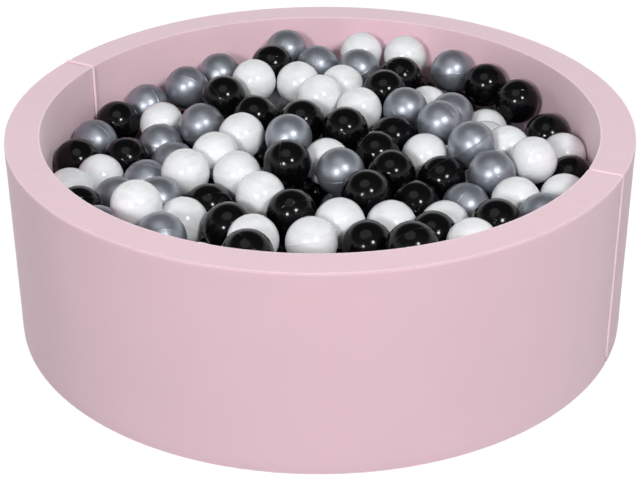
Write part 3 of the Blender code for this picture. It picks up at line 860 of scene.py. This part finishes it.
def slider_shape(radius, way, height, start):
    """A cast slider: a tapered channel over the coil with rolled sides and a bare lug, no pull tab."""
    low, roof, thick = 0.0013, 0.0027, 0.0008
    inside, outside = 0.0028, 0.0042
    bevel, shoulder = 0.0004, 0.0007
    half = SLIDER_LENGTH / 2
    middle = start + half / radius
    along = cylinder_point(1, middle + math.pi / 2, 0)
    outward = cylinder_point(way, middle, 0)
    foot = cylinder_point(radius, middle, height)
    right = [
        (inside, low), (outside - bevel, low), (outside, low + bevel), (outside, roof + thick * 0.3),
        (outside - shoulder, roof + thick * 0.95), (outside * 0.5, roof + thick),
    ]
    left = [(-a, up) for a, up in reversed(right)]
    profile = right + [(0.0, roof + thick)] + left + [(-inside, roof), (inside, roof)]
    rings = []
    for share, width in SLIDER_STATIONS:
        ring = []
        for a, up in profile:
            aside = a * (width if abs(a) > inside else 1)
            ring.append(foot + along * (share * half) + outward * up + Vector((0, 0, aside)))
        rings.append(ring)
    arch = [(-0.45, 0.0), (-0.40, 0.35), (-0.2, 0.6), (0.1, 0.6), (0.30, 0.35), (0.35, 0.0)]
    crest = roof + thick * 0.6
    path = [foot + along * (share * half) + outward * (crest + up * LUG_SCALE) for share, up in arch]
    lug = cord(path, LUG_RADIUS, 8, Vector((0, 0, 1)))
    return joined([lofted(rings), lug])


class BALLPIT_OT_zips(bpy.types.Operator):
    """Make the zips of the three covers and their sliders."""

    bl_idname = "ball_pit.make_zips"
    bl_label = "Zips"

    def execute(self, context):
        wall, mat = context.scene.pit_wall, context.scene.pit_mat
        runs = {
            half: (wall.zip_radius, -1, wall.zip_height, start + wall.zip_margin, stop - wall.zip_margin)
            for half, (start, stop) in seam_turns(wall).items()
        }
        runs["mat"] = (mat.zip_radius, 1, mat.thickness / 2, mat.zip_start, mat.zip_stop)
        for name, run in runs.items():
            tapes, teeth = zip_shapes(*run)
            body = HALVES.get(name, BACK_BODY)
            for part, shape, cloth in (("zip_tapes", tapes, "tape"), ("zip_coil", teeth, "filament")):
                mesh = mesh_from(f"{name}_{part}", *shape)
                piece = link(f"{name}_{part}", mesh, finish(cloth), angle_deg=40)
                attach(piece, body)
                if part == "zip_tapes":
                    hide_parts(f"{name}_zip")
            metal = bpy.data.materials.get("nickel_plated_zinc") or nickel_plated_zinc("nickel_plated_zinc")
            made = mesh_from(f"{name}_cast_slider", *slider_shape(*run[:4]))
            piece = link(f"{name}_cast_slider", made, metal, angle_deg=50)
            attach(piece, f"{name}_zip_slider")
            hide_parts(f"{name}_zip_slider")
        return {"FINISHED"}


# Mat

MAT_SEGMENTS = 144
MAT_RINGS = 30
# How far the mat's top lies under its full height, and how far the foam can puff it out
MAT_DIP = 0.0008
MAT_CROWN = 0.0007
# Where the mat's cloth is held: how many edge roundings in from its rim, and how far over its underside
MAT_RIM_SHARE = 1.5
MAT_UNDERSIDE = 0.001
# The rim of the cloth under the mat: how far out it stands, and its height as a share of the cloth
BASE_RIM = ((0.0012, 0.9), (0.0016, 0.5), (0.0010, 0.08))


def mat_section(mat, low):
    """Half the mat's section, from the middle of its top to the middle of its underside."""
    radius, r = mat.diameter / 2, mat.edge_round
    top = mat.thickness - MAT_DIP
    run = radius - r
    points = [(run * k / MAT_RINGS, top) for k in range(1, MAT_RINGS + 1)]
    points += arc((run, top - r), r, (75, 60, 45, 30, 15, 0))
    points += arc((run, low + r), r, (0, -15, -30, -45, -60, -75, -90))
    points += [(run * k / MAT_RINGS, low) for k in range(MAT_RINGS - 1, 0, -1)]
    return points


def round_solid(points, top, low, segments):
    """A solid of revolution through (radius, height) points, with a point at each end."""
    turns = [2 * math.pi * k / segments for k in range(segments)]
    places = [cylinder_point(r, turn, z) for r, z in points for turn in turns]
    faces = []
    for row in range(len(points) - 1):
        for k in range(segments):
            a, b = row * segments + k, row * segments + (k + 1) % segments
            faces.append((a, b, b + segments, a + segments))
    places += [Vector((0, 0, top)), Vector((0, 0, low))]
    last = (len(points) - 1) * segments
    for k in range(segments):
        faces.append((len(places) - 2, k, (k + 1) % segments))
        faces.append((len(places) - 1, last + (k + 1) % segments, last + k))
    return places, faces


class BALLPIT_OT_mat(bpy.types.Operator):
    """Make the padded mat and the non-slip cloth under it."""

    bl_idname = "ball_pit.make_mat"
    bl_label = "Mat"

    def execute(self, context):
        mat = context.scene.pit_mat
        low = mat.base_cloth
        points = mat_section(mat, low)
        shape = round_solid(points, mat.thickness - MAT_DIP, low, MAT_SEGMENTS)
        mesh = mesh_from("mat_cushion", *shape)
        cloth_map(mesh, mat.diameter / 2)
        piece = link("mat_cushion", mesh, finish("jersey"))
        seam, under = mat.diameter / 2 - MAT_RIM_SHARE * mat.edge_round, low + MAT_UNDERSIDE
        sewn = [v.index for v in mesh.vertices if v.co.z < under or math.hypot(*v.co[:2]) > seam]
        puffed(piece, sewn, MAT_CROWN)
        smoother(piece)
        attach(piece, BACK_BODY)
        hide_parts("mat_foam", "mat_top_cover", "mat_side_cover")
        edge = mat.diameter / 2 - mat.edge_round
        rim = [(edge * k / 8, low) for k in range(1, 9)]
        rim += [(edge + out, low * share) for out, share in BASE_RIM]
        rim += [(edge * k / 8, 0.0) for k in range(8, 0, -1)]
        cloth = round_solid(rim, low, 0.0, MAT_SEGMENTS)
        base = link("mat_base_cloth", mesh_from("mat_base_cloth", *cloth), finish("non_slip"), angle_deg=40)
        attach(base, BACK_BODY)
        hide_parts("mat_base_cover")
        return {"FINISHED"}


# Heap of balls

# The eye's place in shares of the pit's inner radius, from the middle of the balls' level
EYE_SHARES = (0.0215, -5.13, 2.435)
EYE_TURN_DEG = (28.91, -0.26, -0.43)
# The eye's lens, the balls' level and how far they may stray from it, and how they are pushed apart
HEAP = {
    "lens_px": 1553.0, "below_rim": 0.043, "fall": 0.020, "deepest": 0.040, "highest": 0.030,
    "clearance": 0.0006, "gap": 0.0003, "arc_step_deg": 7.5, "push": 0.40, "hold": 0.60,
    "steps": 2500, "holding_steps": 600, "seat_depth": 0.0050,
}
# The balls under the upper layer: how unevenly they start, how they are pushed apart and sink, and
# how much less than a ball's diameter may lie between two middles; then distances, in shares of a
# ball, that choose where balls start and which are kept
UNDER = {
    "uneven": 0.004, "steps": 700, "push": 0.35, "sinking_steps": 400, "sink": 0.0001, "touch": 0.0002,
    "carriers_apart": 0.7, "clear_of_others": 0.72, "below": 0.3, "beside": 1.2, "covered": 0.15,
}
# The even layers that they start from: how many, how far apart, how many rows and columns to each
# side, and how far past the wall's reach
PACKING = {"layers": 5, "up_share": 1.02, "across_share": 1.04, "rows": 7, "columns": 8, "past": 0.2}
# Where a ball's carrier may stand: tilts from straight under it, and even turns round it
SEAT_TILTS_DEG = (0, 12, 24, 36, 48)
SEAT_TURNS = 12
# Seeds of the balls' turns and of the lower layers' uneven start
TURN_SEED = 11
START_SEED = 7
# How often each seen place is moved along its line on to the balls' level
SIGHT_STEPS = 20
PICTURE_MIDDLE_PX = (320.0, 240.0)


def sight(down_deg, aside_deg, roll_deg):
    """The forward, right and up directions of an eye that looks down, slightly aside and rolled."""
    down, aside, roll = (math.radians(d) for d in (down_deg, aside_deg, roll_deg))
    forward = Vector((math.sin(aside) * math.cos(down), math.cos(aside) * math.cos(down), -math.sin(down)))
    level_right = Vector((math.cos(aside), -math.sin(aside), 0))
    level_up = level_right.cross(forward)
    right = math.cos(roll) * level_right - math.sin(roll) * level_up
    up = math.sin(roll) * level_right + math.cos(roll) * level_up
    return forward, right, up


def heap_level(places, reach, level):
    """The height of the middles of the balls, which falls from the pit's middle to its wall."""
    far = np.linalg.norm(places[..., :2], axis=-1)
    return level - HEAP["fall"] * (far / reach) ** 2


def upper_layer(wall, ball):
    """Colour, place and picture place of each ball of the upper layer."""
    inner = wall.outer_diameter / 2 - wall.thickness
    reach = inner * math.cos(math.radians(HEAP["arc_step_deg"] / 2)) - HEAP["gap"] - ball.diameter / 2
    level = wall.height - HEAP["below_rim"]
    eye = np.array(EYE_SHARES) * inner
    forward, right, up = (np.array(way) for way in sight(*EYE_TURN_DEG))
    pictured = [(c, px) for table in (LOOSE_PX, JOINED_PX) for c in BALL_COLOURS for px in table[c]]
    colours, pixels = zip(*pictured)
    across, upward = ((np.array(pixels) - PICTURE_MIDDLE_PX) * (1, -1) / HEAP["lens_px"]).T
    lines = forward + across[:, None] * right + upward[:, None] * up
    lines /= np.linalg.norm(lines, axis=1)[:, None]
    seen = eye + (0, 0, level) - lines * (eye[2] / lines[:, 2:])
    for _ in range(SIGHT_STEPS):
        seen += lines * ((heap_level(seen, reach, level) - seen[:, 2]) / lines[:, 2])[:, None]
    places = settled(seen, lines, reach, level, ball.diameter + HEAP["clearance"])
    kept = []
    for c, place, pixel in [*zip(colours, places, pixels), *gap_balls(reach, level, ball)]:
        nearest = min((np.linalg.norm(place - other[1]) for other in kept), default=1.0)
        if nearest > ball.diameter + HEAP["gap"]:
            kept.append((c or BALL_COLOURS[len(kept) % 3], place, pixel))
    return kept, reach


def gap_balls(reach, level, ball):
    """Places on close rings from the wall inwards, to try for balls that the picture doesn't show."""
    step = ball.diameter / 8
    for ring in range(int(reach / step)):
        radius = reach - ring * step
        count = int(2 * math.pi * radius / step)
        for k in range(count):
            turn = 2 * math.pi * k / count - math.pi / 2
            place = np.array((radius * math.cos(turn), radius * math.sin(turn), 0))
            place[2] = heap_level(place, reach, level)
            yield None, place, None


def settled(seen, lines, reach, level, spacing):
    """Places where no two balls cross, each as near as it can be to the line on which it's seen."""
    places = held_in(seen.copy(), reach, level)
    apart = np.eye(len(places)) * spacing
    for step in range(HEAP["steps"]):
        between = places[None, :, :] - places[:, None, :]
        distance = np.linalg.norm(between, axis=2) + apart
        crowding = (spacing - distance).clip(0)
        places += HEAP["push"] * (between * (crowding / distance)[:, :, None]).sum(axis=0)
        drift = places - seen
        sideways = drift - (drift * lines).sum(axis=1)[:, None] * lines
        places -= HEAP["hold"] * max(0, 1 - step / HEAP["holding_steps"]) * sideways
        places = held_in(places, reach, level)
    return places


def held_in(places, reach, level):
    """Places moved back inside the wall and between the heap's lowest and highest levels."""
    far = np.linalg.norm(places[:, :2], axis=1)
    places[:, :2] *= np.minimum(1, reach / far)[:, None]
    middle = heap_level(places, reach, level)
    places[:, 2] = places[:, 2].clip(middle - HEAP["deepest"], middle + HEAP["highest"])
    return places


def seat(place, others, reach, ball):
    """The place of the ball that carries a higher one, under it and as clear as it can be."""
    choices = []
    for tilt in map(math.radians, SEAT_TILTS_DEG):
        for k in range(SEAT_TURNS):
            turn = 2 * math.pi * k / SEAT_TURNS
            across = math.sin(tilt)
            way = np.array((across * math.cos(turn), across * math.sin(turn), -math.cos(tilt)))
            choices.append(place + (ball.diameter - HEAP["seat_depth"]) * way)
    inside = [choice for choice in choices if np.linalg.norm(choice[:2]) < reach]
    rest = np.array([other for other in others if other is not place])
    return max(inside, key=lambda choice: np.linalg.norm(rest - choice, axis=1).min())


def close_packing(size, low, reach):
    """Places of even layers of balls that fill the pit."""
    found = []
    rows, columns = PACKING["rows"], PACKING["columns"]
    across = PACKING["across_share"]
    for layer in range(PACKING["layers"]):
        z = low + layer * size * math.sqrt(2 / 3) * PACKING["up_share"]
        aside = (layer % 2) * size / 2
        for row in range(-rows, rows + 1):
            for column in range(-columns, columns + 1):
                x = (column + (row % 2) / 2) * size * across + aside
                y = row * size * across * math.sqrt(3) / 2 + aside / math.sqrt(3)
                if math.hypot(x, y) < reach + size * PACKING["past"]:
                    found.append((x, y, z))
    return np.array(found)


def lower_layers(upper, reach, ball, floor):
    """Places of the balls under the upper layer, down to the mat, without those that cross others."""
    size = ball.diameter + HEAP["clearance"]
    rng = np.random.default_rng(START_SEED)
    low = floor + ball.diameter / 2 + HEAP["gap"]
    tops = [place for _, place, _ in upper]
    fixed = np.array(tops)
    carriers = []
    for place in tops:
        spot = seat(place, tops, reach, ball)
        if all(np.linalg.norm(spot - other) > size * UNDER["carriers_apart"] for other in carriers):
            carriers.append(spot)
    grid = close_packing(size, low, reach)
    grid += rng.normal(0, UNDER["uneven"], grid.shape)
    near = np.linalg.norm(grid[:, None] - np.vstack((fixed, carriers))[None], axis=2).min(axis=1)
    over = np.array([np.linalg.norm((fixed - p)[:, :2], axis=1).argmin() for p in grid])
    is_clear = near > size * UNDER["clear_of_others"]
    is_below = grid[:, 2] < fixed[over, 2] - size * UNDER["below"]
    free = np.vstack((carriers, grid[is_clear & is_below]))
    for step in range(UNDER["steps"]):
        every = np.vstack((free, fixed))
        between = every[None, :, :] - free[:, None, :]
        distance = np.linalg.norm(between, axis=2)
        distance[np.arange(len(free)), np.arange(len(free))] = size
        crowding = (size - distance).clip(0)
        free -= UNDER["push"] * (between * (crowding / distance)[:, :, None]).sum(axis=1)
        if step < UNDER["sinking_steps"]:
            free[:, 2] -= UNDER["sink"]
        far = np.linalg.norm(free[:, :2], axis=1)
        free[:, :2] *= np.minimum(1, reach / far)[:, None]
        free[:, 2] = free[:, 2].clip(low)
    kept = []
    for place in sorted(free.tolist(), key=lambda p: -p[2]):
        others = np.array([*fixed, *kept])
        beside = fixed[np.linalg.norm((fixed - place)[:, :2], axis=1) < size * UNDER["beside"]]
        covered = len(beside) and place[2] < beside[:, 2].max() - size * UNDER["covered"]
        if covered and np.linalg.norm(others - place, axis=1).min() > ball.diameter - UNDER["touch"]:
            kept.append(place)
    return kept


# How far a ball's skin strays from a true sphere, and how often to a radius
BALL_UNEVEN = 0.00022
BALL_UNEVEN_SCALE = 1.6
BALL_SEGMENTS = 56
COARSE_SEGMENTS = 28


def ball_rings(ball, coarse):
    """Latitudes of a ball's rings and how far each stands out: the parting line and the blow mark."""
    ridge = ball.parting_ridge
    line = {0.0: ridge, 0.6: ridge * 0.8, 1.1: ridge * 0.2, 1.6: 0.0, 2.4: 0.0, 4.0: 0.0}
    if coarse:
        even = {float(d): 0.0 for d in (12, 26, 40, 54, 68, 80)}
    else:
        even = {float(d): 0.0 for d in range(8, 82, 6)}
        even.update({82.0: -0.5 * ridge, 85.0: 0.6 * ridge, 88.0: -0.8 * ridge})
    rows = {**line, **even}
    north = sorted(rows)
    return [(-d, rows[d]) for d in reversed(north[1:])] + [(d, rows[d]) for d in north]


def ball_shape(ball, seed, coarse=False):
    """Places and faces of one ball: a sphere with its moulding marks and slight unevenness."""
    segments = COARSE_SEGMENTS if coarse else BALL_SEGMENTS
    radius = ball.diameter / 2
    rings = ball_rings(ball, coarse)
    places, faces = [], []
    for degrees, proud in rings:
        lat = math.radians(degrees)
        for s in range(segments):
            turn = 2 * math.pi * s / segments
            way = Vector((math.cos(lat) * math.cos(turn), math.cos(lat) * math.sin(turn), math.sin(lat)))
            uneven = BALL_UNEVEN * noise.noise(way * BALL_UNEVEN_SCALE + Vector((seed, 0, 0)))
            places.append(way * (radius - ball.parting_ridge + proud + uneven - BALL_UNEVEN))
    for r in range(len(rings) - 1):
        for s in range(segments):
            a, b = r * segments + s, r * segments + (s + 1) % segments
            faces.append((a, b, b + segments, a + segments))
    south, north = len(places), len(places) + 1
    cap = radius - ball.parting_ridge - 2 * BALL_UNEVEN
    places += [Vector((0, 0, -cap)), Vector((0, 0, cap))]
    last = (len(rings) - 1) * segments
    for s in range(segments):
        faces.append((south, (s + 1) % segments, s))
        faces.append((north, last + s, last + (s + 1) % segments))
    return places, faces


def picture_turn(slope_deg, tip_deg):
    """The turn that lays a ball's parting line at a slope in the picture, tipped from edge-on."""
    forward, right, up = sight(EYE_TURN_DEG[0], EYE_TURN_DEG[1], 0)
    slope, tip = math.radians(slope_deg), math.radians(tip_deg)
    along = math.cos(slope) * right + math.sin(slope) * up
    square = -math.sin(slope) * right + math.cos(slope) * up
    axis = math.cos(tip) * square - math.sin(tip) * forward
    return Matrix((along, axis.cross(along), axis)).transposed()


def any_turn(rng):
    """An even choice among all turns, from a seeded generator."""
    turn = Quaternion(rng.normal(size=4).tolist())
    return turn.normalized().to_matrix()


def node_middle(node):
    low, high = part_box(node)
    return (Vector(low) + Vector(high)) / 2


class BALLPIT_OT_balls(bpy.types.Operator):
    """Make the loose balls and the bed of balls under and between them."""

    bl_idname = "ball_pit.make_balls"
    bl_label = "Balls"

    def execute(self, context):
        wall, mat, ball = context.scene.pit_wall, context.scene.pit_mat, context.scene.pit_balls
        rng = np.random.default_rng(TURN_SEED)
        upper, reach = upper_layer(wall, ball)
        shapes = {}
        for c in BALL_COLOURS:
            for k in range(3):
                mesh = mesh_from(f"{c}_ball_shape_{k}", *ball_shape(ball, 10 * k + len(c)))
                mesh.materials.append(finish(c))
                mesh.shade_smooth()
                shapes[c, k] = mesh
        loose = {name: node_middle(name) for name in BALL_NODES}
        counts = dict.fromkeys(BALL_COLOURS, 0)
        for c, place, pixel in upper:
            node = next((n for n in loose if (loose[n] - Vector(place)).length < ball.diameter / 10), None)
            if node and not node.startswith(c):
                raise RuntimeError(f"{node} should be {c}")
            counts[c] += node is None
            turn = picture_turn(*SEEN_PARTING_LINES[pixel]) if pixel in SEEN_PARTING_LINES else any_turn(rng)
            mesh = shapes[c, int(rng.integers(3))].copy()
            mesh.transform(Matrix.Translation(Vector(place)) @ turn.to_4x4())
            piece = bpy.data.objects.new(f"{node}_moulded" if node else f"bed_{c}_ball_{counts[c]:02d}", mesh)
            context.scene.collection.objects.link(piece)
            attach(piece, node or BACK_BODY)
            if node:
                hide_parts(node)
                loose.pop(node)
        if loose:
            raise RuntimeError(f"no place was found for {sorted(loose)}")
        under = lower_layers(upper, reach, ball, mat.thickness)
        print(f"{len(upper)} balls in the upper layer, {len(under)} below it")
        for k, c in enumerate(BALL_COLOURS):
            balls = []
            for number, place in enumerate(under[k::3]):
                places, faces = ball_shape(ball, number * 0.37, coarse=True)
                turn = any_turn(rng)
                balls.append(([turn @ p + Vector(place) for p in places], faces))
            piece = link(f"lower_{c}_balls", mesh_from(f"lower_{c}_balls", *joined(balls)), finish(c))
            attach(piece, BACK_BODY)
            if k == 0:
                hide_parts("ball_bed")
        return {"FINISHED"}


# Stage

# Each lamp: how far it is aside and up as seen from the pit, its distance and its width
LAMPS = {
    "near_lamp": (-19, 24, 8.0, 1.5),
    "right_lamp": (30, 40, 8.0, 1.5),
    "overhead_box": (-22, 74, 2.3, 1.6),
}
LAMP_AIM = (0, 0, 0.2)
FLOOR_SIZE = 60
# A little under the pit, so that its base and the floor don't lie in one plane
FLOOR_LEVEL = -0.001
# How far up the studio's walls turn into its ceiling, and where its front turns into its back
WALLS_END_DEG = (16, 34)
FRONT_ENDS = (-0.5, 0.3)
CAMERA_PLACE = (0.0243, -2.1175, 1.2637)
CAMERA_TURN_DEG = (28.85, -0.677, 0.298)


class BALLPIT_OT_stage(bpy.types.Operator):
    """Make the floor, the lights and the camera."""

    bl_idname = "ball_pit.make_stage"
    bl_label = "Stage"

    def execute(self, context):
        stage, scene = context.scene.pit_stage, context.scene
        scene.view_settings.view_transform = "Standard"
        half, low = FLOOR_SIZE / 2, FLOOR_LEVEL
        corners = [(-half, -half, low), (half, -half, low), (half, half, low), (-half, half, low)]
        mesh = bpy.data.meshes.new("floor")
        mesh.from_pydata(corners, [], [(0, 1, 2, 3)])
        link("floor", mesh, white_floor(stage.floor_glow))
        white_studio(scene, stage)
        aim = Vector(LAMP_AIM)
        for name, (aside_deg, up_deg, far, size) in LAMPS.items():
            data = bpy.data.lights.new(name, "AREA")
            data.shape = "DISK"
            data.size = size
            data.energy = getattr(stage, name)
            lamp = bpy.data.objects.new(name, data)
            scene.collection.objects.link(lamp)
            a, e = math.radians(aside_deg), math.radians(up_deg)
            way = Vector((math.sin(a) * math.cos(e), -math.cos(a) * math.cos(e), math.sin(e)))
            lamp.location = aim + way * far
            lamp.rotation_euler = way.to_track_quat("Z", "Y").to_euler()
        camera = bpy.data.objects.new("camera", bpy.data.cameras.new("camera"))
        scene.collection.objects.link(camera)
        camera.data.lens = stage.lens
        camera.data.sensor_width = 36
        camera.data.clip_end = 100
        forward, right, up = sight(*CAMERA_TURN_DEG)
        turn = Matrix((right, up, -forward)).transposed()
        camera.matrix_world = Matrix.Translation(CAMERA_PLACE) @ turn.to_4x4()
        scene.camera = camera
        return {"FINISHED"}


def is_looked_at(tree):
    """1 for a ray from the camera, a mirror or a clear piece, which see the studio's white."""
    path = add_node(tree, "ShaderNodeLightPath")
    seen = path.outputs["Is Camera Ray"]
    for kind in ("Is Glossy Ray", "Is Transmission Ray"):
        either = {"operation": "MAXIMUM"}
        seen = add_node(tree, "ShaderNodeMath", either, i0=seen, i1=path.outputs[kind]).outputs[0]
    return seen


def white_floor(glow):
    """Matt white paper, rolled out: it glows a little where it is looked at, and keeps the shadow."""
    made, tree, shader = new_material("matt_white_paper")
    set_up(shader, Base_Color=(0.22, 0.22, 0.22, 1), Roughness=1.0, Specular_IOR_Level=0.0)
    strength = add_node(tree, "ShaderNodeMath", {"operation": "MULTIPLY"}, i0=is_looked_at(tree), i1=glow)
    tree.links.new(strength.outputs[0], shader.inputs["Emission Strength"])
    set_up(shader, Emission_Color=(1, 1, 1, 1))
    return made


def white_studio(scene, stage):
    """White walls, brighter behind the pit, under a dim ceiling; the walls look plain white."""
    world = bpy.data.worlds.new("white_studio")
    scene.world = world
    world.use_nodes = True
    tree = world.node_tree
    back = tree.nodes["Background"]
    back.inputs["Color"].default_value = (1, 1, 1, 1)
    way = add_node(tree, "ShaderNodeTexCoord").outputs["Generated"]
    split = add_node(tree, "ShaderNodeSeparateXYZ", Vector=way)
    soft = {"interpolation_type": "SMOOTHSTEP"}
    near, far = FRONT_ENDS
    walls, ceiling = (
        add_node(
            tree, "ShaderNodeMapRange", soft, Value=split.outputs["Y"], i1=near, i2=far, i3=before, i4=behind
        ).outputs[0]
        for before, behind in (
            (stage.walls_before, stage.walls_behind), (stage.ceiling_before, stage.ceiling_behind)
        )
    )
    walls = add_node(tree, "ShaderNodeMapRange", Value=is_looked_at(tree), i3=walls, i4=1.0).outputs[0]
    low, high = (math.sin(math.radians(d)) for d in WALLS_END_DEG)
    level = add_node(
        tree, "ShaderNodeMapRange", soft, Value=split.outputs["Z"], i1=low, i2=high, i3=walls, i4=ceiling
    )
    tree.links.new(level.outputs[0], back.inputs["Strength"])


# Panel and run


class BALLPIT_PT_panel(bpy.types.Panel):
    """The pit's settings, and a button for each kind of piece."""

    bl_idname = "BALLPIT_PT_panel"
    bl_label = "Ball pit"
    bl_space_type = "VIEW_3D"
    bl_region_type = "UI"
    bl_category = "Ball pit"

    def draw(self, context):
        for group in SETTINGS:
            box = self.layout.box()
            settings = getattr(context.scene, group)
            for name in settings.bl_rna.properties.keys():
                if name not in ("rna_type", "name"):
                    box.prop(settings, name)
        for operator in OPERATORS:
            self.layout.operator(operator.bl_idname)


SETTINGS = {
    "pit_wall": PitWallSettings,
    "pit_mat": PitMatSettings,
    "pit_balls": PitBallSettings,
    "pit_stage": PitStageSettings,
}
OPERATORS = (
    BALLPIT_OT_stage,
    BALLPIT_OT_wall,
    BALLPIT_OT_piping,
    BALLPIT_OT_tapes,
    BALLPIT_OT_zips,
    BALLPIT_OT_mat,
    BALLPIT_OT_balls,
)


def register():
    for group, settings in SETTINGS.items():
        bpy.utils.register_class(settings)
        setattr(bpy.types.Scene, group, bpy.props.PointerProperty(type=settings))
    for operator in OPERATORS:
        bpy.utils.register_class(operator)
    bpy.utils.register_class(BALLPIT_PT_panel)


def unregister():
    bpy.utils.unregister_class(BALLPIT_PT_panel)
    for operator in reversed(OPERATORS):
        bpy.utils.unregister_class(operator)
    for group, settings in SETTINGS.items():
        delattr(bpy.types.Scene, group)
        bpy.utils.unregister_class(settings)


def main():
    register()
    bpy.ops.ball_pit.make_stage()
    bpy.ops.ball_pit.make_wall()
    bpy.ops.ball_pit.make_piping()
    bpy.ops.ball_pit.make_tapes()
    bpy.ops.ball_pit.make_zips()
    bpy.ops.ball_pit.make_mat()
    bpy.ops.ball_pit.make_balls()


if __name__ == "__main__":
    main()
